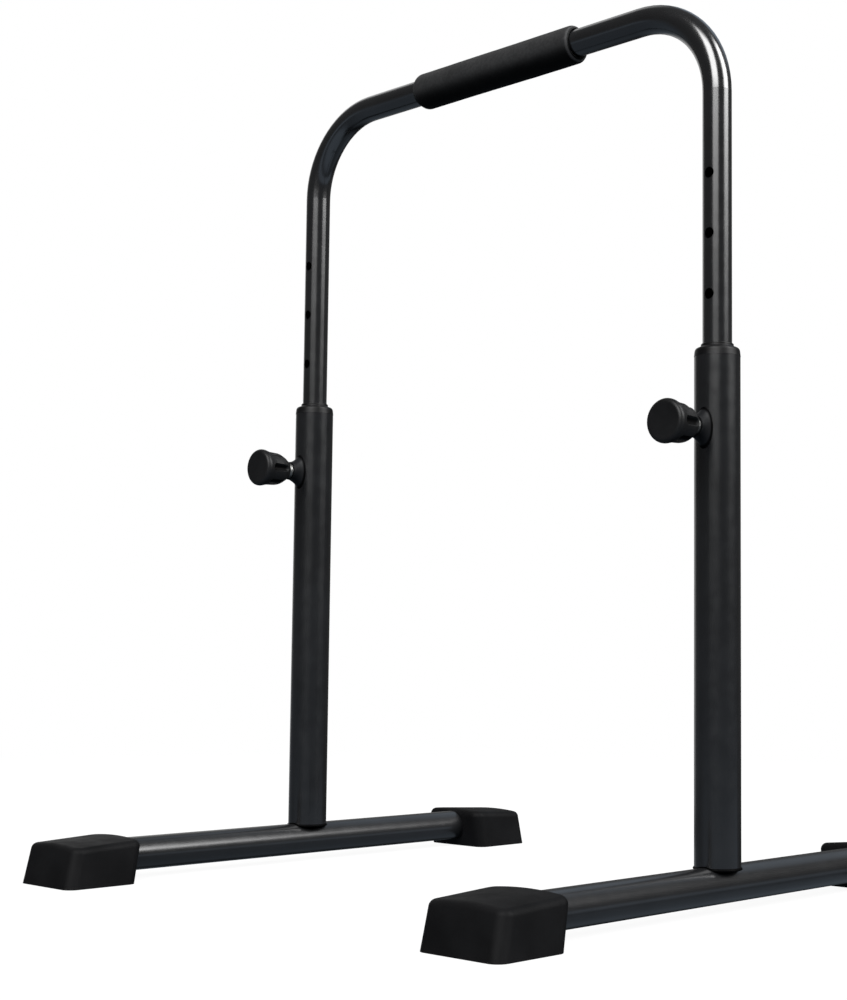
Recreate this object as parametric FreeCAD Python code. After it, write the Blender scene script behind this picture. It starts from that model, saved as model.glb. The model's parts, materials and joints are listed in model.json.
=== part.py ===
"""Kip bar: an inverted U bar that telescopes into two free-standing legs.

Millimetres, +Z up. The origin is on the floor, midway between the two legs and
midway along the feet. +X points to the right leg, -Y is the front, where the
pull pins are.
"""
import FreeCAD, Part
import math
import os

V = FreeCAD.Vector
X_AXIS = V(1, 0, 0)
Y_AXIS = V(0, 1, 0)
Z_AXIS = V(0, 0, 1)

# Overall layout
LEG_X = 331.0              # each leg's centre plane, from the middle
POST_Y = 10.0              # the posts stand a little behind the middle of the feet
BAR_AXIS_Z = 993.5         # height of the top bar's axis at its highest setting
BEND_RADIUS = 105.0        # centreline radius of the two bends
PIN_AXIS_Z = 514.0         # height of both pull pins
TOP_HOLE_Z = 794.8         # uppermost height hole, at the bar's highest setting
HOLE_PITCH = 66.8          # spacing of the height holes above the pinned one
UPPER_HOLES = 4
CURVED_GAP = 0.3           # between curved faces that slide past each other

# Tubes
BAR_OD = 32.0
BAR_WALL = 2.0
BAR_BOTTOM_Z = 430.0       # lower ends of the bar's legs at its highest setting
POST_OD = 50.0
POST_WALL = 2.0
POST_BOTTOM_Z = 47.0
POST_TOP_Z = 594.0
FOOT_OD = 40.0
FOOT_WALL = 2.0
FOOT_AXIS_Z = 29.0
FOOT_HALF_LENGTH = 352.0   # the tube ends inside its caps
HEIGHT_HOLE_R = 6.0

# Weld round the base of each post
WELD_BELOW = 1.6
WELD_ABOVE = 1.6
WELD_STAND_OUT = 1.2

# Foot caps: the outer end is the one that points away from the post
CAP_HALF_WIDTH = 52.0
CAP_SIDE_DRAFT = 1.5
CAP_OUTER_BOTTOM_Y = 387.0
CAP_OUTER_TOP_Y = 375.0
CAP_INNER_BOTTOM_Y = 292.0
CAP_INNER_TOP_Y = 282.5
CAP_OUTER_TOP_Z = 48.5
CAP_INNER_TOP_Z = 53.5
CAP_CROWN = 3.5            # rise of the top's middle above its sides
CAP_CORNER_R = 13.0
CAP_TOP_EDGE_R = 8.0

# Bushing in the top of each post: its heights are measured from the post's rim
BUSHING_SPIGOT_H = 51.0
BUSHING_FLANGE_R = 25.2
BUSHING_DOME_R = 24.2
BUSHING_DOME_H = 8.6
BUSHING_DOME_ROUND = 4.2
BUSHING_LIP_R = 17.8
BUSHING_LIP_BASE_H = 10.5
BUSHING_LIP_FILLET = 1.6
BUSHING_TOP_H = 14.0
BUSHING_EDGE = 1.0

# Glide plug on each lower end of the bar
GLIDE_BELOW = 6.0
GLIDE_ABOVE = 20.0
GLIDE_SPIGOT_H = 14.0
GLIDE_EDGE = 1.5

# Pull pin: distances s are measured from the post's axis towards the front
BOSS_SECTIONS = (          # (s, half width, half height) from the root to the round tip
    (21.5, 9.7, 25.5),
    (26.0, 9.9, 20.8),
    (30.0, 10.3, 17.3),
    (34.0, 10.9, 14.6),
    (38.0, 11.5, 12.7),
    (41.0, 11.8, 11.9),
    (43.0, 11.8, 11.8),
)
SECTION_POINTS = 24
BARREL_SHANK_R = 7.6       # the part inside the boss
BARREL_R = 9.8
BARREL_INNER_S = 25.5
BARREL_COLLAR_S = 43.0
BARREL_OUTER_S = 56.5
BARREL_END_WALL = 3.0
BARREL_EDGE = 1.0
PIN_R = 5.5
PIN_TIP_S = 16.5
PIN_TIP_EDGE = 1.0
PIN_SHOULDER_S = 30.0
PIN_STEM_R = 3.0
PIN_STEM_END_S = 84.0
STEM_CLEARANCE = 0.4
POST_PIN_HOLE_R = 6.2
SPRING_WIRE_R = 0.6
SPRING_COIL_R = 4.2
SPRING_TURNS = 9
SPRING_END_GAP = 0.2

# Knob on the pull pin
KNOB_INNER_S = 50.5
KNOB_NECK_R = 13.2
KNOB_SHOULDER_S = 63.0
KNOB_SHOULDER_R = 20.8
KNOB_SHOULDER_ROUND = 24.0
KNOB_WAIST_S = 81.0        # the body swells into the outer rim from here
KNOB_WAIST_R = 21.7
KNOB_WAIST_FILLET = 20.0
KNOB_RIM_S = 90.0
KNOB_RIM_R = 23.8
KNOB_RIM_ROUND = 6.0
KNOB_OUTER_S = 96.3
KNOB_FACE_ROUND = 5.0
KNOB_EDGE = 0.8
KNOB_SOCKET_R = 10.2       # slides over the barrel
KNOB_SOCKET_DEPTH = 14.0
FLUTE_COUNT = 6
FLUTE_R = 5.5
FLUTE_OFFSET = 22.6        # flute centres, from the knob's axis
FLUTE_END_S = 86.0

# Foam grip
GRIP_HALF_LENGTH = 130.0
GRIP_R = 22.5
GRIP_END_ROUND = 4.5
GRIP_RECESS_R = 18.3       # moulded recess round the bar at each end
GRIP_RECESS_DEPTH = 4.0

SIDES = {"left": -1, "right": 1}


def save(shape, node):
    """Write one node, after making sure that it is a sound solid."""
    if not shape.isValid() or not shape.Solids:
        raise RuntimeError(node + " is not a valid solid")
    shape.exportStep(os.path.join("parts", node + ".step"))


def tube(outer_r, inner_r, base, direction, length):
    """A round tube from base along direction."""
    outer = Part.makeCylinder(outer_r, length, base, direction)
    return outer.cut(Part.makeCylinder(inner_r, length, base, direction))


def outline(corners):
    """Closed outline through (radius, height) corners; a third number rounds its corner."""
    points = [V(corner[0], 0, corner[1]) for corner in corners]
    edges = []
    first = None
    for index, point in enumerate(points):
        rounding = corners[index][2] if len(corners[index]) > 2 else 0
        back = (points[index - 1] - point).normalize()
        ahead = (points[(index + 1) % len(points)] - point).normalize()
        half_angle = back.getAngle(ahead) / 2
        enter = point + back * (rounding / math.tan(half_angle))
        leave = point + ahead * (rounding / math.tan(half_angle))
        if first is None:
            first = enter
        else:
            edges.append(Part.makeLine(last, enter))
        if rounding:
            inward = (back + ahead).normalize()
            nearest = point + inward * (rounding / math.sin(half_angle) - rounding)
            edges.append(Part.Arc(enter, nearest, leave).toShape())
        last = leave
    edges.append(Part.makeLine(last, first))
    return Part.Wire(edges)


def turned(corners, base, direction):
    """Turn a closed (radius, height) outline about an axis through base."""
    solid = Part.Face(outline(corners)).revolve(V(0, 0, 0), Z_AXIS, 360)
    solid.Placement = FreeCAD.Placement(base, FreeCAD.Rotation(Z_AXIS, direction))
    return solid


def pin_line(x):
    """Where the pull pin's axis crosses the post's axis, and which way it leaves."""
    return V(x, POST_Y, PIN_AXIS_Z), -Y_AXIS


def pin_solid(x, corners):
    """A turned piece on the pull pin's axis; heights in the outline are distances s."""
    base, outward = pin_line(x)
    return turned(corners, base, outward)


def foot_tube(x):
    base = V(x, -FOOT_HALF_LENGTH, FOOT_AXIS_Z)
    return tube(FOOT_OD / 2, FOOT_OD / 2 - FOOT_WALL, base, Y_AXIS, 2 * FOOT_HALF_LENGTH)


def foot_envelope(x):
    """The full cylinder of the foot tube, for fitting other pieces to it."""
    base = V(x, -FOOT_HALF_LENGTH, FOOT_AXIS_Z)
    return Part.makeCylinder(FOOT_OD / 2, 2 * FOOT_HALF_LENGTH, base, Y_AXIS)


def post(x):
    """Outer sleeve of a leg, coped over the foot tube, with one hole for the pull pin."""
    base = V(x, POST_Y, POST_BOTTOM_Z)
    length = POST_TOP_Z - POST_BOTTOM_Z
    sleeve = tube(POST_OD / 2, POST_OD / 2 - POST_WALL, base, Z_AXIS, length)
    sleeve = sleeve.cut(foot_envelope(x))
    centre, outward = pin_line(x)
    return sleeve.cut(Part.makeCylinder(POST_PIN_HOLE_R, POST_OD, centre, outward))


def post_weld(x):
    """Bead that joins the post to the foot tube and closes the post's lower rim."""
    rim = POST_OD / 2
    toe = rim + WELD_STAND_OUT
    corners = [
        (0, -WELD_BELOW),
        (rim, -WELD_BELOW),
        (toe, -WELD_BELOW / 2),
        (toe, 0),
        (rim, WELD_ABOVE),
        (rim, 0),
        (0, 0),
    ]
    rim_bead = turned(corners, V(x, POST_Y, POST_BOTTOM_Z), Z_AXIS)
    crest = FOOT_AXIS_Z + FOOT_OD / 2 + WELD_STAND_OUT
    ring = tube(toe, rim, V(x, POST_Y, POST_BOTTOM_Z), Z_AXIS, crest - POST_BOTTOM_Z)
    start = V(x, POST_Y - POST_OD, FOOT_AXIS_Z)
    over_tube = Part.makeCylinder(FOOT_OD / 2 + WELD_STAND_OUT, 2 * POST_OD, start, Y_AXIS)
    return rim_bead.fuse(ring.common(over_tube)).cut(foot_envelope(x))


def cap_blank():
    """Drafted block with a crowned, sloping top: a foot cap at a tube's +Y end."""
    top = CAP_INNER_TOP_Z + CAP_CROWN
    rise = top / CAP_INNER_TOP_Z
    inner_top = CAP_INNER_BOTTOM_Y + rise * (CAP_INNER_TOP_Y - CAP_INNER_BOTTOM_Y)
    outer_top = CAP_OUTER_BOTTOM_Y + rise * (CAP_OUTER_TOP_Y - CAP_OUTER_BOTTOM_Y)
    half_top = CAP_HALF_WIDTH - rise * CAP_SIDE_DRAFT
    block = Part.makeWedge(
        -CAP_HALF_WIDTH, 0, -CAP_OUTER_BOTTOM_Y,
        -outer_top, -half_top,
        CAP_HALF_WIDTH, top, -CAP_INNER_BOTTOM_Y,
        -inner_top, half_top,
    )
    block.rotate(V(0, 0, 0), X_AXIS, 90)
    crowned = block.common(crown_cylinder())
    return crowned.makeFillet(CAP_CORNER_R, [edge for edge in crowned.Edges if is_upright(edge)])


def crown_cylinder():
    """Large cylinder whose upper side is the crowned top of a foot cap."""
    radius = (CAP_HALF_WIDTH ** 2 + CAP_CROWN ** 2) / (2 * CAP_CROWN)
    slope = (CAP_OUTER_TOP_Z - CAP_INNER_TOP_Z) / (CAP_OUTER_TOP_Y - CAP_INNER_TOP_Y)
    along = V(0, 1, slope)
    along.normalize()
    reach = CAP_OUTER_BOTTOM_Y - CAP_INNER_TOP_Y
    start = V(0, CAP_INNER_TOP_Y, CAP_INNER_TOP_Z) - along * reach
    start = start - V(0, -along.z, along.y) * radius
    cylinder = Part.makeCylinder(radius, 3 * reach, start, along)
    cylinder.rotate(start, along, 180)   # keeps its seam off the crest
    return cylinder


def is_upright(edge):
    low, high = sorted(vertex.Z for vertex in edge.Vertexes)
    return high - low > CAP_OUTER_TOP_Z / 2


def is_top_edge(edge):
    return min(vertex.Z for vertex in edge.Vertexes) > CAP_OUTER_TOP_Z / 2


def foot_cap(x, end):
    """Moulded cap on one end of a foot tube; end is +1 at the rear and -1 at the front."""
    blank = cap_blank()
    blank = blank.makeFillet(CAP_TOP_EDGE_R, [edge for edge in blank.Edges if is_top_edge(edge)])
    socket = Part.makeCylinder(FOOT_OD / 2, FOOT_HALF_LENGTH, V(0, 0, FOOT_AXIS_Z), Y_AXIS)
    cap = blank.cut(socket)
    if end < 0:
        cap = cap.mirror(V(0, 0, 0), Y_AXIS)
    cap.translate(V(x, 0, 0))
    return cap


def bushing(x):
    """Plastic bushing pressed into the post; its domed flange covers the post's rim."""
    bore = BAR_OD / 2 + CURVED_GAP
    spigot = POST_OD / 2 - POST_WALL
    corners = [
        (bore, -BUSHING_SPIGOT_H),
        (spigot, -BUSHING_SPIGOT_H),
        (spigot, 0),
        (BUSHING_FLANGE_R, 0),
        (BUSHING_DOME_R, BUSHING_DOME_H, BUSHING_DOME_ROUND),
        (BUSHING_LIP_R, BUSHING_LIP_BASE_H, BUSHING_LIP_FILLET),
        (BUSHING_LIP_R, BUSHING_TOP_H, BUSHING_EDGE),
        (bore, BUSHING_TOP_H),
    ]
    return turned(corners, V(x, POST_Y, POST_TOP_Z), Z_AXIS)


def glide(x):
    """Plastic plug on the bar's lower end, guiding it inside the post."""
    flange = POST_OD / 2 - POST_WALL - CURVED_GAP
    corners = [
        (0, -GLIDE_BELOW),
        (flange, -GLIDE_BELOW, GLIDE_EDGE),
        (flange, GLIDE_ABOVE, GLIDE_EDGE),
        (BAR_OD / 2, GLIDE_ABOVE),
        (BAR_OD / 2, 0),
        (BAR_OD / 2 - BAR_WALL, 0),
        (BAR_OD / 2 - BAR_WALL, GLIDE_SPIGOT_H, GLIDE_EDGE),
        (0, GLIDE_SPIGOT_H),
    ]
    return turned(corners, V(x, POST_Y, BAR_BOTTOM_Z), Z_AXIS)


def bar_path():
    """Centreline of the U bar, from the left leg's end to the right leg's end."""
    corner = LEG_X - BEND_RADIUS
    bend_z = BAR_AXIS_Z - BEND_RADIUS
    mid = BEND_RADIUS * math.sqrt(0.5)
    points = [
        V(-LEG_X, POST_Y, BAR_BOTTOM_Z),
        V(-LEG_X, POST_Y, bend_z),
        V(-corner, POST_Y, BAR_AXIS_Z),
        V(corner, POST_Y, BAR_AXIS_Z),
        V(LEG_X, POST_Y, bend_z),
        V(LEG_X, POST_Y, BAR_BOTTOM_Z),
    ]
    left_mid = V(-corner - mid, POST_Y, bend_z + mid)
    right_mid = V(corner + mid, POST_Y, bend_z + mid)
    edges = [
        Part.LineSegment(points[0], points[1]).toShape(),
        Part.Arc(points[1], left_mid, points[2]).toShape(),
        Part.LineSegment(points[2], points[3]).toShape(),
        Part.Arc(points[3], right_mid, points[4]).toShape(),
        Part.LineSegment(points[4], points[5]).toShape(),
    ]
    return Part.Wire(edges)


def swept(path, radius):
    ring = Part.Wire(Part.makeCircle(radius, path.Vertexes[0].Point, Z_AXIS))
    return path.makePipeShell([ring], True, False)


def hole_heights():
    """The pinned hole, then the ones above it from the top down."""
    return [PIN_AXIS_Z] + [TOP_HOLE_Z - step * HOLE_PITCH for step in range(UPPER_HOLES)]


def top_bar():
    """Bent tube with a row of height holes in the front of each leg."""
    path = bar_path()
    bar = swept(path, BAR_OD / 2).cut(swept(path, BAR_OD / 2 - BAR_WALL))
    for side in SIDES.values():
        for height in hole_heights():
            centre = V(side * LEG_X, POST_Y, height)
            bar = bar.cut(Part.makeCylinder(HEIGHT_HOLE_R, BAR_OD, centre, -Y_AXIS))
    return bar


def foam_grip():
    """Foam tube on the middle of the bar, with rounded ends."""
    bore = BAR_OD / 2
    end = GRIP_HALF_LENGTH
    recess = end - GRIP_RECESS_DEPTH
    corners = [
        (bore, -recess),
        (GRIP_RECESS_R, -recess),
        (GRIP_RECESS_R, -end),
        (GRIP_R, -end, GRIP_END_ROUND),
        (GRIP_R, end, GRIP_END_ROUND),
        (GRIP_RECESS_R, end),
        (GRIP_RECESS_R, recess),
        (bore, recess),
    ]
    return turned(corners, V(0, POST_Y, BAR_AXIS_Z), X_AXIS)


def boss_section(x, s, half_width, half_height):
    """Oval outline across the pull pin's axis."""
    base, outward = pin_line(x)
    centre = base + outward * s
    points = []
    for step in range(SECTION_POINTS):
        angle = 2 * math.pi * step / SECTION_POINTS
        aside = X_AXIS * (half_width * math.sin(angle))
        points.append(centre + aside + Z_AXIS * (half_height * math.cos(angle)))
    curve = Part.BSplineCurve()
    curve.interpolate(points, PeriodicFlag=True)
    return Part.Wire(curve.toShape())


def pin_boss(x):
    """Boss on the front of the post: round at its tip, drawn out up and down at its root."""
    body = Part.makeLoft([boss_section(x, *section) for section in BOSS_SECTIONS], True)
    foot = V(x, POST_Y, POST_BOTTOM_Z)
    post_envelope = Part.makeCylinder(POST_OD / 2, POST_TOP_Z - POST_BOTTOM_Z, foot)
    base, outward = pin_line(x)
    bore = Part.makeCylinder(BARREL_SHANK_R, BARREL_OUTER_S, base, outward)
    return body.cut(post_envelope).cut(bore)


def plunger_barrel(x):
    """Steel housing screwed into the boss; it guides the pin and backs its spring."""
    bore = PIN_R + STEM_CLEARANCE
    stem_bore = PIN_STEM_R + STEM_CLEARANCE
    end_wall = BARREL_OUTER_S - BARREL_END_WALL
    corners = [
        (bore, BARREL_INNER_S),
        (BARREL_SHANK_R, BARREL_INNER_S),
        (BARREL_SHANK_R, BARREL_COLLAR_S),
        (BARREL_R, BARREL_COLLAR_S),
        (BARREL_R, BARREL_OUTER_S, BARREL_EDGE),
        (stem_bore, BARREL_OUTER_S),
        (stem_bore, end_wall),
        (bore, end_wall),
    ]
    return pin_solid(x, corners)


def lock_pin(x):
    """Pin with a shoulder for its spring and a stem that the knob is moulded on."""
    corners = [
        (0, PIN_TIP_S),
        (PIN_R, PIN_TIP_S, PIN_TIP_EDGE),
        (PIN_R, PIN_SHOULDER_S),
        (PIN_STEM_R, PIN_SHOULDER_S),
        (PIN_STEM_R, PIN_STEM_END_S),
        (0, PIN_STEM_END_S),
    ]
    return pin_solid(x, corners)


def plunger_spring(x):
    """Coil spring round the stem, between the pin's shoulder and the barrel's end."""
    start = PIN_SHOULDER_S + SPRING_WIRE_R + SPRING_END_GAP
    length = BARREL_OUTER_S - BARREL_END_WALL - SPRING_WIRE_R - SPRING_END_GAP - start
    helix = Part.makeHelix(length / SPRING_TURNS, length, SPRING_COIL_R)
    ring = Part.Wire(Part.makeCircle(SPRING_WIRE_R, V(SPRING_COIL_R, 0, 0), Y_AXIS))
    coil = Part.Wire(helix).makePipeShell([ring], True, True)
    base, outward = pin_line(x)
    coil.Placement = FreeCAD.Placement(base + outward * start, FreeCAD.Rotation(Z_AXIS, outward))
    return coil


def flute(x, angle):
    """Round-ended cutter for one flute, open towards the post."""
    base, outward = pin_line(x)
    aside = X_AXIS * math.cos(angle) + Z_AXIS * math.sin(angle)
    centreline = base + aside * FLUTE_OFFSET
    reach = FLUTE_END_S - FLUTE_R
    shaft = Part.makeCylinder(FLUTE_R, reach, centreline, outward)
    return shaft.fuse(Part.makeSphere(FLUTE_R, centreline + outward * reach))


def pull_knob(x):
    """Fluted knob with a flared outer rim; its socket slides over the end of the barrel."""
    socket_end = KNOB_INNER_S + KNOB_SOCKET_DEPTH
    corners = [
        (KNOB_SOCKET_R, KNOB_INNER_S),
        (KNOB_NECK_R, KNOB_INNER_S, KNOB_EDGE),
        (KNOB_SHOULDER_R, KNOB_SHOULDER_S, KNOB_SHOULDER_ROUND),
        (KNOB_WAIST_R, KNOB_WAIST_S, KNOB_WAIST_FILLET),
        (KNOB_RIM_R, KNOB_RIM_S, KNOB_RIM_ROUND),
        (KNOB_RIM_R, KNOB_OUTER_S, KNOB_FACE_ROUND),
        (0, KNOB_OUTER_S),
        (0, PIN_STEM_END_S),
        (PIN_STEM_R, PIN_STEM_END_S),
        (PIN_STEM_R, socket_end),
        (KNOB_SOCKET_R, socket_end),
    ]
    knob = pin_solid(x, corners)
    for step in range(FLUTE_COUNT):
        knob = knob.cut(flute(x, 2 * math.pi * step / FLUTE_COUNT))
    return knob


def main():
    os.makedirs("parts", exist_ok=True)
    save(top_bar(), "top_bar")
    save(foam_grip(), "foam_grip")
    pieces = {
        "foot_tube": foot_tube,
        "post": post,
        "post_weld": post_weld,
        "bushing": bushing,
        "bar_glide": glide,
        "pin_boss": pin_boss,
        "plunger_barrel": plunger_barrel,
        "plunger_spring": plunger_spring,
        "lock_pin": lock_pin,
        "pull_knob": pull_knob,
    }
    for side, sign in SIDES.items():
        for name, make in pieces.items():
            save(make(sign * LEG_X), side + "_" + name)
        save(foot_cap(sign * LEG_X, -1), side + "_front_cap")
        save(foot_cap(sign * LEG_X, 1), side + "_rear_cap")


main()
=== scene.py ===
import json
import math

import bpy
from mathutils import Matrix, Vector, noise


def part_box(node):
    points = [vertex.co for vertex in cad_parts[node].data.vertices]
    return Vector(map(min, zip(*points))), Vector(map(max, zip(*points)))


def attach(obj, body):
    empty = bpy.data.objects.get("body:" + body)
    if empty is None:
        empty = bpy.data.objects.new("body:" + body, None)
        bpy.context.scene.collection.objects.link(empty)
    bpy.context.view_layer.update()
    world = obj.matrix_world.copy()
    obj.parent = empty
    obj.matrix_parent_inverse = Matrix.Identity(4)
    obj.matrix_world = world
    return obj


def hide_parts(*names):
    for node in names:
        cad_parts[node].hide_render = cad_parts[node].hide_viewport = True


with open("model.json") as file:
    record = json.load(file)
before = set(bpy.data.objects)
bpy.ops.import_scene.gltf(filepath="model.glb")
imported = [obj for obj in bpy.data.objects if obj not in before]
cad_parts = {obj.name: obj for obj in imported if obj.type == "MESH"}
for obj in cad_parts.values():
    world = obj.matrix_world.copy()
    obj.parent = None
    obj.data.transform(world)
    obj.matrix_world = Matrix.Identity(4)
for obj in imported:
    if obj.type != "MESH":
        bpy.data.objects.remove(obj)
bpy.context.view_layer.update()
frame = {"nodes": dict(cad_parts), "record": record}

# Looks of a kip bar: a foam-gripped U bar that telescopes into two legs. Metres.

NODES = frame["nodes"]
SIDES = ("left", "right")
MM = 0.001

# Camera
CAMERA_AT = Vector((1.3826, -1.4686, 0.2573))
CAMERA_AZIMUTH = math.radians(42.706)
CAMERA_PITCH = math.radians(4.431)
CAMERA_ROLL = math.radians(0.531)
CAMERA_LENS = 60.47
CAMERA_SENSOR = 36
CAMERA_SHIFT = (-0.0798, 0.0365)

# Studio. Angles in degrees: azimuths from +X, elevations from level
NEUTRAL = (1.0, 1.0, 1.0)
COOL = (0.80, 0.97, 1.18)
WALL_SOFTNESS = 12           # width of a wall's blurred edges
WALL_TOP = (50, 66)          # the walls fade out between these elevations
WALL_FOOT = 9.0              # elevation of a wall's foot value
WALLS = (                    # azimuths, radiance at the foot, growth per degree, brightest
    ((-88, -46), 0.25, 0.285, 15.0),
    ((4, 41), 0.23, 0.36, 15.0),
)
PATCHES = (                  # azimuths, elevations, edge softness across and up, radiance, tint
    ((72, 124), (28, 58), (20, 10), 0.36, COOL),          # behind the object
    ((138, 172), (-5, 60), (24, 20), 0.7, NEUTRAL),       # behind and to the left
    ((30, 110), (-80, -18), (30, 14), 0.19, COOL),        # floor to the right
    ((-110, 20), (-80, -22), (30, 20), 0.5, COOL),        # floor in front
    ((-125, 60), (-15, -5), (30, 4), 0.5, COOL),          # floor near the horizon
    ((-185, -120), (-70, -4), (30, 24), 0.21, COOL),      # floor to the left
    ((135, 185), (-75, -4), (30, 24), 0.18, COOL),        # floor behind and to the left
)
AMBIENT = 0.10
AMBIENT_LOW = 0.01           # below the horizon
AMBIENT_FADE = (-12, 4)      # elevations between the two
OVERHEAD_AT = (0.1, -0.3, 4.2)
OVERHEAD_SIZE = 2.2
OVERHEAD_POWER = 60.0
FLOOR_SIZE = 60.0
FLOOR_DROP = 0.2 * MM
FLOOR_COLOUR = 0.82
FLOOR_MOTTLE = 0.01
FLOOR_GLOW = 0.93            # share of plain white near the object
FLOOR_FADE = (1.0, 3.0)      # the floor fades to the backdrop between these radii

# Finishes: each pair is the darkest and the lightest tone of a mottled surface
GLOSS_TONES = ((0.0040, 0.0041, 0.0045), (0.0058, 0.0060, 0.0066))
SATIN_TONES = ((0.0043, 0.0045, 0.0050), (0.0060, 0.0063, 0.0070))
WELD_TONES = ((0.0026, 0.0029, 0.0034), (0.0046, 0.0050, 0.0058))
PLASTIC_TONES = ((0.0024, 0.0024, 0.0026), (0.0042, 0.0042, 0.0044))
KNOB_TONES = ((0.0028, 0.0028, 0.0030), (0.0050, 0.0050, 0.0053))
RUBBER_TONES = ((0.0024, 0.0024, 0.0026), (0.0042, 0.0042, 0.0045))
# The grip's tones: painted shade black below, painted light lighter on top
FOAM_SHADED_TONES = ((0.0006, 0.0006, 0.0007), (0.0014, 0.0014, 0.0015))
FOAM_LIT_TONES = ((0.0056, 0.0056, 0.0058), (0.0092, 0.0092, 0.0095))
ZINC_TONES = ((0.16, 0.16, 0.157), (0.26, 0.26, 0.25))
SPRING_TONES = ((0.30, 0.30, 0.30), (0.46, 0.46, 0.45))
RUBBED_PAINT = (0.02, 0.0204, 0.0216)
# Painted shade in the corners where the welds meet the posts
PAINTED_CREASE_SHADE = (0.0006, 0.0006, 0.0007)
# Painted shade down in the knobs' flutes
PAINTED_FLUTE_SHADE = (0.0008, 0.0008, 0.0009)
# Painted shade inside the grip's ends
PAINTED_RECESS_SHADE = (0.0004, 0.0004, 0.0004)
# Painted highlight on the rims of the grip's ends
FOAM_RIM_HIGHLIGHT = (0.026, 0.026, 0.0265)

# Where a finish, a painted shade or a painted highlight changes, it fades from the first place of a pair to
# the second
RUBBED_HEIGHTS = (100 * MM, 320 * MM)    # rubbed to plain, up from the bushings' lower ends
RUBBED_SHARE = 0.3
FEET_FADE = 10 * MM                      # dull to glossy, above the foot tubes
WELD_SHADE = (1.2 * MM, 4.5 * MM)        # painted shade, black to plain, out from the post's surface
FLUTE_SHADE = (17.6 * MM, 20.2 * MM)     # painted shade, black to plain, out from the knob's axis
FLUTE_ENDS = (8 * MM, 10 * MM)           # plain lengths at the knob's face and at its neck
FLUTE_SOFTNESS = 6 * MM
SHADED_TO_LIT_HEIGHTS = (-0.85, -0.05)            # painted shade black to painted light, up from the grip's axis in its radii
GRIP_RIM_DEPTH = (3.6 * MM, 2.6 * MM)    # plain to painted highlight, down from the foam's skin
GRIP_INNER_DEPTH = (3.9 * MM, 3.1 * MM)  # painted shade black to plain, down from the foam's skin
GRIP_LIT_RIM_LENGTH = 3 * MM                  # length of the painted highlight on the rim at each end

# Foam grip
GRIP_RINGS = 150
GRIP_SEGMENTS = 72
GRIP_END_ROUNDS = (9 * MM, 5.5 * MM)     # left end, right end
GRIP_ROUND_STEPS = 8
GRIP_SAG = 0.8 * MM
GRIP_SAG_VARIES = 0.3                    # share of the sag
GRIP_SAG_NOISE = 7                       # noise scale along the grip
GRIP_WAVE = 0.22 * MM
GRIP_WAVES = ((1.6, 9, 1.3), (0.6, 45, 2.2))  # share, noise scale along the grip and round it
GRIP_RECESS = (2.4 * MM, 4 * MM)         # width and depth, round the bar at each end

# Weld beads
BEAD_SECTION = 12
POST_BEAD_R = 1.4 * MM
POST_BEAD_STEPS = 360
BOSS_BEAD_R = 0.9 * MM
BOSS_ROOT_HALF_WIDTH = 9.8 * MM
BOSS_BEAD_STEPS = 240
BEAD_RIPPLE_PITCH = 2.4 * MM
BEAD_RIPPLE = 0.16           # share of the bead's radius
BEAD_RIPPLE_BOW = 0.35       # share of the pitch by which a ripple's middle leads
BEAD_UNEVENNESS = 0.08       # share of the bead's radius
BEAD_NOISE = 140
BEAD_FLATNESS = 0.8          # height of the section to its width
POST_BEAD_LIFT = 0.6         # how far the post's bead faces up, to how far it faces out


# ---------------------------------------------------------------- camera, lights

def make_camera():
    forward = Vector((
        -math.sin(CAMERA_AZIMUTH) * math.cos(CAMERA_PITCH),
        math.cos(CAMERA_AZIMUTH) * math.cos(CAMERA_PITCH),
        math.sin(CAMERA_PITCH),
    ))
    level = Vector((math.cos(CAMERA_AZIMUTH), math.sin(CAMERA_AZIMUTH), 0))
    upright = level.cross(forward)
    turn, lean = math.cos(CAMERA_ROLL), math.sin(CAMERA_ROLL)
    right = turn * level + lean * upright
    up = turn * upright - lean * level
    data = bpy.data.cameras.new("camera")
    data.lens = CAMERA_LENS
    data.sensor_width = CAMERA_SENSOR
    data.shift_x, data.shift_y = CAMERA_SHIFT
    camera = bpy.data.objects.new("camera", data)
    turned = Matrix([list(right), list(up), list(-forward)]).transposed()
    camera.matrix_world = Matrix.Translation(CAMERA_AT) @ turned.to_4x4()
    bpy.context.scene.collection.objects.link(camera)
    bpy.context.scene.camera = camera


def make_overhead():
    """Large soft light above the object."""
    data = bpy.data.lights.new("overhead", "AREA")
    data.size = OVERHEAD_SIZE
    data.energy = OVERHEAD_POWER
    light = bpy.data.objects.new("overhead", data)
    light.location = OVERHEAD_AT
    light.visible_camera = False
    light.visible_glossy = False
    bpy.context.scene.collection.objects.link(light)


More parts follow.
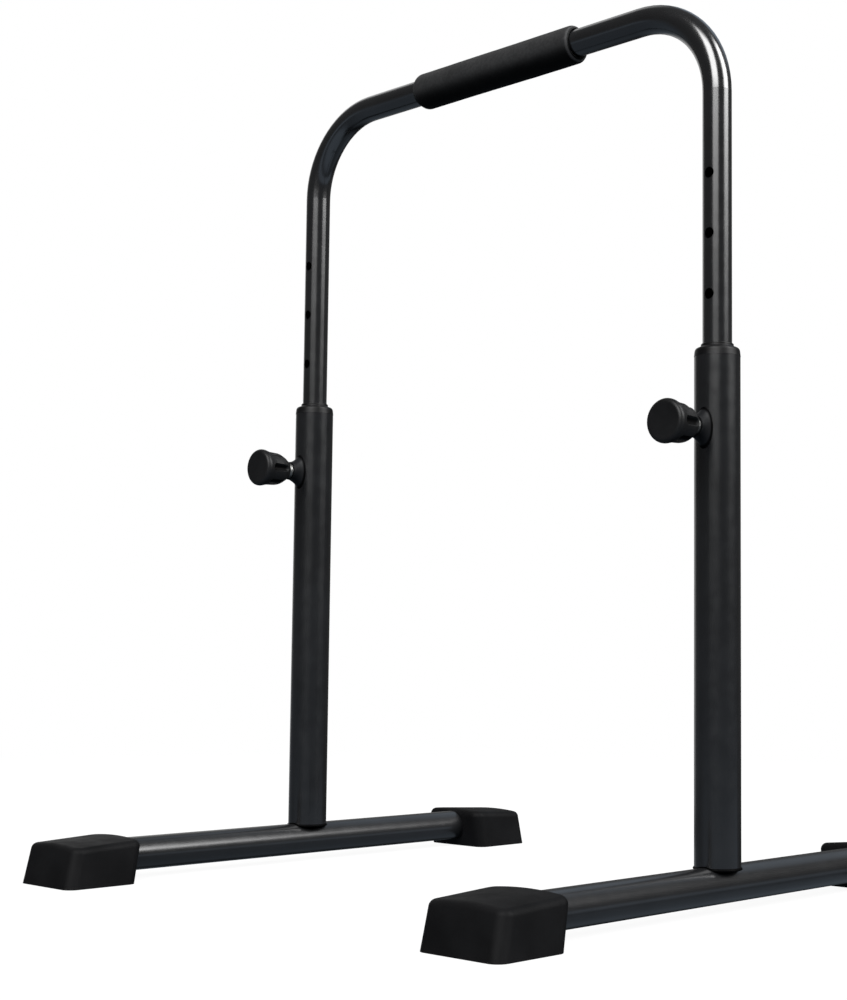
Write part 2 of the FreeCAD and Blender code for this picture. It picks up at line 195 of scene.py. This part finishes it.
def make_world():
    """White behind the object; towards the object, soft panels over a dim ambient light."""
    world = bpy.data.worlds.new("studio")
    world.use_nodes = True
    graph = Graph(world.node_tree, "Generated")
    azimuth = graph.math("DEGREES", graph.math("ARCTAN2", graph.axis("Y"), graph.axis("X")))
    elevation = graph.math("DEGREES", graph.math("ARCSINE", graph.axis("Z")))
    light = graph.background(graph.spread(elevation, AMBIENT_LOW, AMBIENT, *AMBIENT_FADE), NEUTRAL)
    for (right, left), foot, growth, brightest in WALLS:
        climb = graph.math("MULTIPLY", graph.math("SUBTRACT", elevation, WALL_FOOT), growth)
        glow = graph.math("MULTIPLY", graph.math("EXPONENT", climb), foot)
        glow = graph.math("MINIMUM", glow, brightest)
        glow = graph.math("MULTIPLY", glow, graph.spread(elevation, 1, 0, *WALL_TOP))
        glow = graph.math("MULTIPLY", glow, graph.window(azimuth, right, left, WALL_SOFTNESS))
        light = graph.shaders("ShaderNodeAddShader", light, graph.background(glow, NEUTRAL))
    for (right, left), (low, high), (across, up), radiance, tint in PATCHES:
        glow = graph.window(azimuth, right, left, across)
        glow = graph.math("MULTIPLY", glow, graph.window(elevation, low, high, up))
        glow = graph.math("MULTIPLY", glow, radiance)
        light = graph.shaders("ShaderNodeAddShader", light, graph.background(glow, tint))
    backdrop = graph.background(1.0, NEUTRAL)
    seen = graph.tree.nodes.new("ShaderNodeLightPath").outputs["Is Camera Ray"]
    light = graph.shaders("ShaderNodeMixShader", light, backdrop, seen)
    graph.link(light, graph.tree.nodes["World Output"].inputs["Surface"])
    bpy.context.scene.world = world
    bpy.context.scene.view_settings.view_transform = "Standard"


def make_floor():
    """Plain pale floor that fades into the white backdrop."""
    half = FLOOR_SIZE / 2
    corners = [(-half, -half), (half, -half), (half, half), (-half, half)]
    mesh = bpy.data.meshes.new("floor")
    mesh.from_pydata([(x, y, -FLOOR_DROP) for x, y in corners], [], [(0, 1, 2, 3)])
    floor = bpy.data.objects.new("floor", mesh)
    bpy.context.scene.collection.objects.link(floor)
    look = Look("floor_paint")
    tone = look.spread(look.noise(6, 3), FLOOR_COLOUR - FLOOR_MOTTLE, FLOOR_COLOUR + FLOOR_MOTTLE)
    look.set("Base Color", look.grey(tone))
    look.set("Roughness", 0.9)
    look.set("Specular IOR Level", 0.1)
    glow = look.tree.nodes.new("ShaderNodeEmission").outputs["Emission"]
    far = look.spread(look.radius(), FLOOR_GLOW, 1, *FLOOR_FADE)
    surface = look.shaders("ShaderNodeMixShader", look.shader.outputs["BSDF"], glow, far)
    look.link(surface, look.tree.nodes["Material Output"].inputs["Surface"])
    mesh.materials.append(look.material)
    floor.visible_glossy = False
    floor.visible_diffuse = False


# --------------------------------------------------------------------- materials

class Graph:
    """A node tree, with a short call for each kind of node used here."""

    def __init__(self, tree, coordinates):
        self.tree = tree
        self.place = tree.nodes.new("ShaderNodeTexCoord").outputs[coordinates]

    def link(self, output, socket):
        self.tree.links.new(output, socket)

    def fill(self, socket, value):
        """Link a socket to value, or set it when value is a number."""
        if isinstance(value, bpy.types.NodeSocket):
            self.link(value, socket)
        else:
            socket.default_value = value

    def shaders(self, kind, first, second, factor=None):
        """Add or mix two shaders."""
        node = self.tree.nodes.new(kind)
        sockets = list(node.inputs)
        if factor is not None:
            self.link(factor, sockets.pop(0))
        self.link(first, sockets[0])
        self.link(second, sockets[1])
        return node.outputs[0]

    def background(self, strength, tint):
        node = self.tree.nodes.new("ShaderNodeBackground")
        node.inputs["Color"].default_value = (*tint, 1)
        self.fill(node.inputs["Strength"], strength)
        return node.outputs["Background"]

    def math(self, operation, first, second=0.0):
        node = self.tree.nodes.new("ShaderNodeMath")
        node.operation = operation
        for socket, value in zip(node.inputs, (first, second)):
            self.fill(socket, value)
        return node.outputs[0]

    def stretched(self, stretch):
        """The object's coordinates, multiplied axis by axis."""
        node = self.tree.nodes.new("ShaderNodeMapping")
        node.inputs["Scale"].default_value = stretch
        self.link(self.place, node.inputs["Vector"])
        return node.outputs["Vector"]

    def axis(self, name):
        node = self.tree.nodes.new("ShaderNodeSeparateXYZ")
        self.link(self.place, node.inputs[0])
        return node.outputs[name]

    def radius(self):
        """Distance from the vertical axis through the origin."""
        return self.length(self.axis("X"), self.axis("Y"))

    def length(self, x, y):
        """Length of the vector (x, y)."""
        return self.math("SQRT", self.math("ADD", self.math("MULTIPLY", x, x), self.math("MULTIPLY", y, y)))

    def noise(self, scale, detail=2.0, stretch=None):
        node = self.tree.nodes.new("ShaderNodeTexNoise")
        node.inputs["Scale"].default_value = scale
        node.inputs["Detail"].default_value = detail
        self.link(self.stretched(stretch) if stretch else self.place, node.inputs["Vector"])
        return node.outputs["Fac"]

    def cells(self, scale):
        node = self.tree.nodes.new("ShaderNodeTexVoronoi")
        node.inputs["Scale"].default_value = scale
        self.link(self.place, node.inputs["Vector"])
        return node.outputs["Distance"]

    def spread(self, value, low, high, from_low=0.3, from_high=0.7):
        """Map value smoothly from one span to another, clamped."""
        node = self.tree.nodes.new("ShaderNodeMapRange")
        node.interpolation_type = "SMOOTHSTEP"
        self.link(value, node.inputs["Value"])
        for name, number in (
            ("From Min", from_low), ("From Max", from_high), ("To Min", low), ("To Max", high),
        ):
            node.inputs[name].default_value = number
        return node.outputs["Result"]

    def window(self, value, low, high, softness):
        """One between low and high, zero outside, with soft edges centred on them."""
        half = softness / 2
        rise = self.spread(value, 0, 1, low - half, low + half)
        return self.math("MULTIPLY", rise, self.spread(value, 1, 0, high - half, high + half))

    def grey(self, value):
        node = self.tree.nodes.new("ShaderNodeCombineColor")
        for socket in node.inputs:
            self.link(value, socket)
        return node.outputs["Color"]

    def mix(self, factor, first, second):
        """Blend two colours, each an (r, g, b) or a socket."""
        node = self.tree.nodes.new("ShaderNodeMix")
        node.data_type = "RGBA"
        self.link(factor, node.inputs["Factor"])
        for socket, colour in ((node.inputs[6], first), (node.inputs[7], second)):
            if isinstance(colour, bpy.types.NodeSocket):
                self.link(colour, socket)
            else:
                socket.default_value = (*colour, 1)
        return node.outputs[2]

    def bump(self, height, depth, before=None):
        """Raise the surface by up to depth metres, on top of an earlier bump."""
        node = self.tree.nodes.new("ShaderNodeBump")
        node.inputs["Distance"].default_value = depth
        self.link(height, node.inputs["Height"])
        if before is not None:
            self.link(before, node.inputs["Normal"])
        return node.outputs["Normal"]


class Look(Graph):
    """A material, built on its object's own coordinates, which are the CAD frame's at rest."""

    def __init__(self, name):
        self.material = bpy.data.materials.new(name)
        self.material.use_nodes = True
        super().__init__(self.material.node_tree, "Object")
        self.shader = self.tree.nodes["Principled BSDF"]

    def set(self, name, value):
        self.fill(self.shader.inputs[name], value)

    def mottle(self, tones, scale, detail):
        """Colour that wanders between a dark and a light tone."""
        return self.mix(self.spread(self.noise(scale, detail), 0, 1), *tones)

    def tint(self, share, colour):
        """Blend a colour over the base colour."""
        base = self.shader.inputs["Base Color"].links[0].from_socket
        self.set("Base Color", self.mix(share, base, colour))

    def offset(self, name, origin, mirrored=False):
        """Distance along an axis from origin; mirrored serves the left and right copies alike."""
        place = self.axis(name)
        if mirrored:
            place = self.math("ABSOLUTE", place)
        return self.math("SUBTRACT", place, origin)


def paint(name, tones, roughness, peel, shine=0.5):
    """Powder coat: mottled black, faint orange-peel skin, uneven gloss."""
    look = Look(name)
    look.set("Base Color", look.mottle(tones, 14, 4))
    look.set("Roughness", look.spread(look.noise(70, 4), roughness - 0.02, roughness + 0.03))
    look.set("Specular IOR Level", shine)
    look.set("Normal", look.bump(look.noise(240, 2), peel))
    return look


def tube_paint():
    """Glossy paint, rubbed lengthways where the bar slides and duller on the foot tubes."""
    look = paint("gloss_black_paint", GLOSS_TONES, roughness=0.20, peel=0.003 * MM)
    rubbed = look.spread(look.noise(700, 3, (1, 1, 0.012)), 0, 1, 0.62, 0.80)
    bushing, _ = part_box("left_bushing")
    from_z, to_z = (bushing.z + height for height in RUBBED_HEIGHTS)
    rubbed = look.math("MULTIPLY", rubbed, look.spread(look.axis("Z"), 1, 0, from_z, to_z))
    look.tint(look.math("MULTIPLY", rubbed, RUBBED_SHARE), RUBBED_PAINT)
    _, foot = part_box("left_foot_tube")
    feet = look.spread(look.axis("Z"), 1, 0, foot.z, foot.z + FEET_FADE)
    look.set("Coat Roughness", look.spread(feet, 0.1, 0.34, 0, 1))
    look.set("Coat Weight", look.spread(feet, 0.6, 0.35, 0, 1))
    look.set("Specular IOR Level", look.spread(feet, 0.5, 0.4, 0, 1))
    return look.material


def sleeve_paint():
    look = paint("satin_black_paint", SATIN_TONES, roughness=0.22, peel=0.006 * MM, shine=0.48)
    return look.material


def weld_paint():
    """Duller, rougher paint over the welds, with painted shade black in the corners where it meets the
    posts.
    """
    look = paint("weld_paint", WELD_TONES, roughness=0.5, peel=0.02 * MM)
    low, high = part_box("right_post")
    centre = (low + high) / 2
    from_axis = look.length(look.offset("X", centre.x, mirrored=True), look.offset("Y", centre.y))
    root, plain = ((high.x - low.x) / 2 + reach for reach in WELD_SHADE)
    # Painted shade: black, with less shine, in the creases where the welds meet the posts
    crease_shade = look.spread(from_axis, 1, 0, root, plain)
    look.tint(crease_shade, PAINTED_CREASE_SHADE)
    look.set("Specular IOR Level", look.spread(crease_shade, 0.11, 0.02, 0, 1))
    return look.material


def moulded(name, tones, roughness, shine, grain_scale, grain_depth):
    """Moulded plastic or rubber: fine spark-eroded grain and faint handling marks."""
    look = Look(name)
    tone = look.math("ADD", look.noise(18, 4), look.math("MULTIPLY", look.noise(600, 2), 0.25))
    look.set("Base Color", look.mix(look.spread(tone, 0, 1, 0.45, 0.8), *tones))
    look.set("Roughness", look.spread(look.noise(40, 5), roughness - 0.05, roughness + 0.06))
    look.set("Specular IOR Level", shine)
    fine = look.bump(look.noise(grain_scale, 3), grain_depth)
    look.set("Normal", look.bump(look.noise(45, 3), 0.05 * MM, fine))
    return look


def black_plastic():
    grain = {"grain_scale": 1600, "grain_depth": 0.01 * MM}
    return moulded("black_plastic", PLASTIC_TONES, roughness=0.40, shine=0.14, **grain).material


def knob_plastic():
    """Moulded plastic, with painted shade black down in the flutes."""
    grain = {"grain_scale": 1300, "grain_depth": 0.015 * MM}
    look = moulded("knob_plastic", KNOB_TONES, roughness=0.46, shine=0.18, **grain)
    low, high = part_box("right_pull_knob")
    centre = (low + high) / 2
    from_axis = look.length(look.offset("X", centre.x, mirrored=True), look.offset("Z", centre.z))
    face, neck = FLUTE_ENDS
    fluted = look.window(look.axis("Y"), low.y + face, high.y - neck, FLUTE_SOFTNESS)
    # Painted shade: black, with less shine, down in the flutes
    flute_shade = look.math("MULTIPLY", look.spread(from_axis, 1, 0, *FLUTE_SHADE), fluted)
    look.tint(flute_shade, PAINTED_FLUTE_SHADE)
    look.set("Specular IOR Level", look.spread(flute_shade, 0.18, 0.03, 0, 1))
    return look.material


def cap_rubber():
    grain = {"grain_scale": 1100, "grain_depth": 0.02 * MM}
    return moulded("cap_rubber", RUBBER_TONES, roughness=0.56, shine=0.05, **grain).material


def foam():
    """Closed-cell foam: a matte skin of tiny pores, with painted light making it lighter on top, painted
    shade black below and inside its ends, and a painted highlight on its end rims.
    """
    look = Look("foam")
    low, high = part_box("foam_grip")
    centre, radius = (low + high) / 2, (high.z - low.z) / 2
    # Painted light and shade: lighter and shinier on top, black below
    shaded_z, lit_z = (centre.z + share * radius for share in SHADED_TO_LIT_HEIGHTS)
    lit_top = look.spread(look.axis("Z"), 0, 1, shaded_z, lit_z)
    lit_top = look.math("MULTIPLY", lit_top, look.spread(look.noise(9, 3), 0.7, 1))
    black, grey = (look.mottle(tones, 60, 5) for tones in (FOAM_SHADED_TONES, FOAM_LIT_TONES))
    look.set("Base Color", look.mix(lit_top, black, grey))

    from_middle = look.math("ABSOLUTE", look.axis("X"))
    # Painted highlight on the rims of the ends
    at_end = look.spread(from_middle, 0, 1, high.x - GRIP_LIT_RIM_LENGTH, high.x - GRIP_LIT_RIM_LENGTH / 3)
    from_axis = look.length(look.offset("Y", centre.y), look.offset("Z", centre.z))
    lit_rim = look.spread(from_axis, 0, 1, *(radius - depth for depth in GRIP_RIM_DEPTH))
    look.tint(look.math("MULTIPLY", at_end, lit_rim), FOAM_RIM_HIGHLIGHT)
    # Painted shade black inside the ends and round the bar
    recess_shade = look.spread(from_axis, 1, 0, *(radius - depth for depth in GRIP_INNER_DEPTH))
    look.tint(recess_shade, PAINTED_RECESS_SHADE)

    look.set("Roughness", look.spread(look.noise(300, 3), 0.82, 0.97))
    look.set("Specular IOR Level", look.spread(lit_top, 0.06, 0.36, 0, 1))
    look.set("Sheen Weight", 0.01)
    look.set("Sheen Roughness", 0.5)
    pores = look.bump(look.cells(1500), 0.12 * MM)
    look.set("Normal", look.bump(look.noise(380, 4), 0.16 * MM, pores))
    return look.material


def zinc():
    """Zinc plating over fine turning marks that run round the pin's axis."""
    look = Look("zinc_steel")
    look.set("Base Color", look.mottle(ZINC_TONES, 160, 4))
    look.set("Metallic", 1.0)
    look.set("Roughness", look.spread(look.noise(500, 4), 0.36, 0.52))
    look.set("Normal", look.bump(look.noise(4200, 2, (0.02, 1, 0.02)), 0.01 * MM))
    return look.material


def spring_steel():
    look = Look("spring_steel")
    look.set("Base Color", look.mottle(SPRING_TONES, 400, 3))
    look.set("Metallic", 1.0)
    look.set("Roughness", look.spread(look.noise(900, 3), 0.28, 0.42))
    look.set("Normal", look.bump(look.noise(1500, 2), 0.01 * MM))
    return look.material


MATERIALS = {
    "gloss_black_paint": tube_paint(),
    "satin_black_paint": sleeve_paint(),
    "weld_paint": weld_paint(),
    "black_plastic": black_plastic(),
    "knob_plastic": knob_plastic(),
    "cap_rubber": cap_rubber(),
    "foam": foam(),
    "zinc_steel": zinc(),
    "spring_steel": spring_steel(),
}


def paint_frame():
    """Give every CAD node the finish that its material slot names."""
    for part in frame["record"]["subparts"]:
        data = NODES[part["node"]].data
        data.materials.clear()
        data.materials.append(MATERIALS[part["material_slot"]])


# ----------------------------------------------------------------- mesh building

def add_piece(name, points, faces, body, slot, replaced=None):
    """A smooth mesh that rides on a body and takes its finish from a slot."""
    mesh = bpy.data.meshes.new(name)
    mesh.from_pydata(points, [], faces)
    mesh.polygons.foreach_set("use_smooth", [True] * len(mesh.polygons))
    mesh.materials.append(MATERIALS[slot])
    piece = bpy.data.objects.new(name, mesh)
    bpy.context.scene.collection.objects.link(piece)
    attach(piece, body)
    if replaced:
        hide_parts(replaced)
    return piece


def closed_grid(rows, columns):
    """Faces of a grid that closes on itself both ways, as round a ring."""
    faces = []
    for i in range(rows):
        for j in range(columns):
            k, m = (i + 1) % rows, (j + 1) % columns
            faces.append((i * columns + j, k * columns + j, k * columns + m, i * columns + m))
    return faces


def corner_arc(centre, radius, start, sweep, steps):
    """Points (along, out) on an arc, angles in quarter turns."""
    points = []
    for step in range(steps + 1):
        angle = (start + sweep * step / steps) * math.pi / 2
        points.append((centre[0] + radius * math.cos(angle), centre[1] + radius * math.sin(angle)))
    return points


# --------------------------------------------------------------------- foam grip

def grip_outline(half_length, radius, bore):
    """Closed outline of half the grip's section as (x, distance from the bar's axis)."""
    left_round, right_round = GRIP_END_ROUNDS
    left_centre = (-half_length + left_round, radius - left_round)
    left = corner_arc(left_centre, left_round, 2, -1, GRIP_ROUND_STEPS)
    right_centre = (half_length - right_round, radius - right_round)
    right = corner_arc(right_centre, right_round, 1, -1, GRIP_ROUND_STEPS)
    start, span = left[-1][0], right[0][0] - left[-1][0]
    straight = [(start + span * step / GRIP_RINGS, radius) for step in range(1, GRIP_RINGS)]
    width, depth = GRIP_RECESS
    floor = half_length - depth
    inside = [(half_length, bore + width), (floor, bore + width), (floor, bore), (0, bore)]
    inside += [(-x, out) for x, out in reversed(inside[:3])]
    return left + straight + right + inside


def grip_wave(x, across):
    """How far the foam's skin stands out of round at x along it, in the direction across."""
    wave = 0.0
    for share, along, around in GRIP_WAVES:
        wave += share * noise.noise(Vector((x * along, *(across.yz * around))))
    return GRIP_WAVE * wave


def make_grip():
    """Soft foam sleeve: slightly wavy, sagging a little on the bar."""
    low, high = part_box("foam_grip")
    centre = (low + high) / 2
    radius = (high.z - low.z) / 2
    bar_low, bar_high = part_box("top_bar")
    bore = (bar_high.y - bar_low.y) / 2
    points = []
    outline = grip_outline((high.x - low.x) / 2, radius, bore)
    for x, out in outline:
        softness = (out - bore) / (radius - bore)
        varies = GRIP_SAG_VARIES * noise.noise(Vector((x * GRIP_SAG_NOISE, 0, 3)))
        sag = Vector((0, 0, -GRIP_SAG * softness * (1 + varies)))
        for segment in range(GRIP_SEGMENTS):
            angle = 2 * math.pi * segment / GRIP_SEGMENTS
            across = Vector((0, math.cos(angle), math.sin(angle)))
            wave = grip_wave(x, across) * softness
            points.append(centre + Vector((x, 0, 0)) + across * (out + wave) + sag)
    faces = closed_grid(len(outline), GRIP_SEGMENTS)
    grip = add_piece("foam_grip_sleeve", points, faces, "bar", "foam", "foam_grip")


# -------------------------------------------------------------------- weld beads

def make_bead(name, path, out_of, radius, body):
    """A rippled weld bead along a closed path; out_of gives each point's outward direction."""
    count = len(path)
    points = []
    travelled = 0.0
    total = sum((path[(i + 1) % count] - path[i]).length for i in range(count))
    ripples = round(total / BEAD_RIPPLE_PITCH)
    for i, point in enumerate(path):
        ahead = (path[(i + 1) % count] - path[i - 1]).normalized()
        out = out_of[i].normalized()
        side = ahead.cross(out).normalized()
        out = side.cross(ahead)
        for step in range(BEAD_SECTION):
            angle = 2 * math.pi * step / BEAD_SECTION
            phase = travelled / total * ripples + BEAD_RIPPLE_BOW * math.cos(angle)
            ripple = 1 + BEAD_RIPPLE * (0.5 - phase % 1)
            uneven = 1 + BEAD_UNEVENNESS * noise.noise(point * BEAD_NOISE)
            reach = radius * ripple * uneven
            raised = out * (reach * BEAD_FLATNESS * math.cos(angle))
            points.append(point + raised + side * (reach * math.sin(angle)))
        travelled += (path[(i + 1) % count] - point).length
    add_piece(name, points, closed_grid(count, BEAD_SECTION), body, "weld_paint")


def make_post_bead(side):
    """Bead where the post stands on the foot tube."""
    low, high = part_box(side + "_post")
    foot_low, foot_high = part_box(side + "_foot_tube")
    centre = (low + high) / 2
    radius = (high.x - low.x) / 2
    foot_radius = (foot_high.x - foot_low.x) / 2
    foot_z = (foot_low.z + foot_high.z) / 2
    path, out_of = [], []
    for step in range(POST_BEAD_STEPS):
        angle = 2 * math.pi * step / POST_BEAD_STEPS
        across = Vector((math.cos(angle), math.sin(angle), 0))
        offset = radius * across.x
        crest = foot_z + math.sqrt(max(foot_radius ** 2 - offset ** 2, 0))
        z = max(low.z, crest)
        path.append(Vector((centre.x, centre.y, z)) + across * radius)
        out_of.append(across + Vector((0, 0, POST_BEAD_LIFT)))
    make_bead(side + "_post_weld_bead", path, out_of, POST_BEAD_R, side + "_leg")


def make_boss_bead(side):
    """Bead where the pull pin's boss stands on the front of the post."""
    post_low, post_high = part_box(side + "_post")
    boss_low, boss_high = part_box(side + "_pin_boss")
    centre = (post_low + post_high) / 2
    radius = (post_high.x - post_low.x) / 2
    boss_z = (boss_low.z + boss_high.z) / 2
    half_tall = (boss_high.z - boss_low.z) / 2
    path, out_of = [], []
    for step in range(BOSS_BEAD_STEPS):
        angle = 2 * math.pi * step / BOSS_BEAD_STEPS
        x, z = BOSS_ROOT_HALF_WIDTH * math.sin(angle), half_tall * math.cos(angle)
        forward = math.sqrt(radius ** 2 - x ** 2)
        path.append(Vector((centre.x + x, centre.y - forward, boss_z + z)))
        post_out = Vector((x, -forward, 0)).normalized()
        out_of.append(post_out + Vector((math.sin(angle), 0, math.cos(angle))))
    make_bead(side + "_boss_weld_bead", path, out_of, BOSS_BEAD_R, side + "_leg")


# --------------------------------------------------------------------- the scene

def main():
    make_camera()
    make_world()
    make_overhead()
    make_floor()
    paint_frame()
    make_grip()
    for side in SIDES:
        make_post_bead(side)
        make_boss_bead(side)


main()
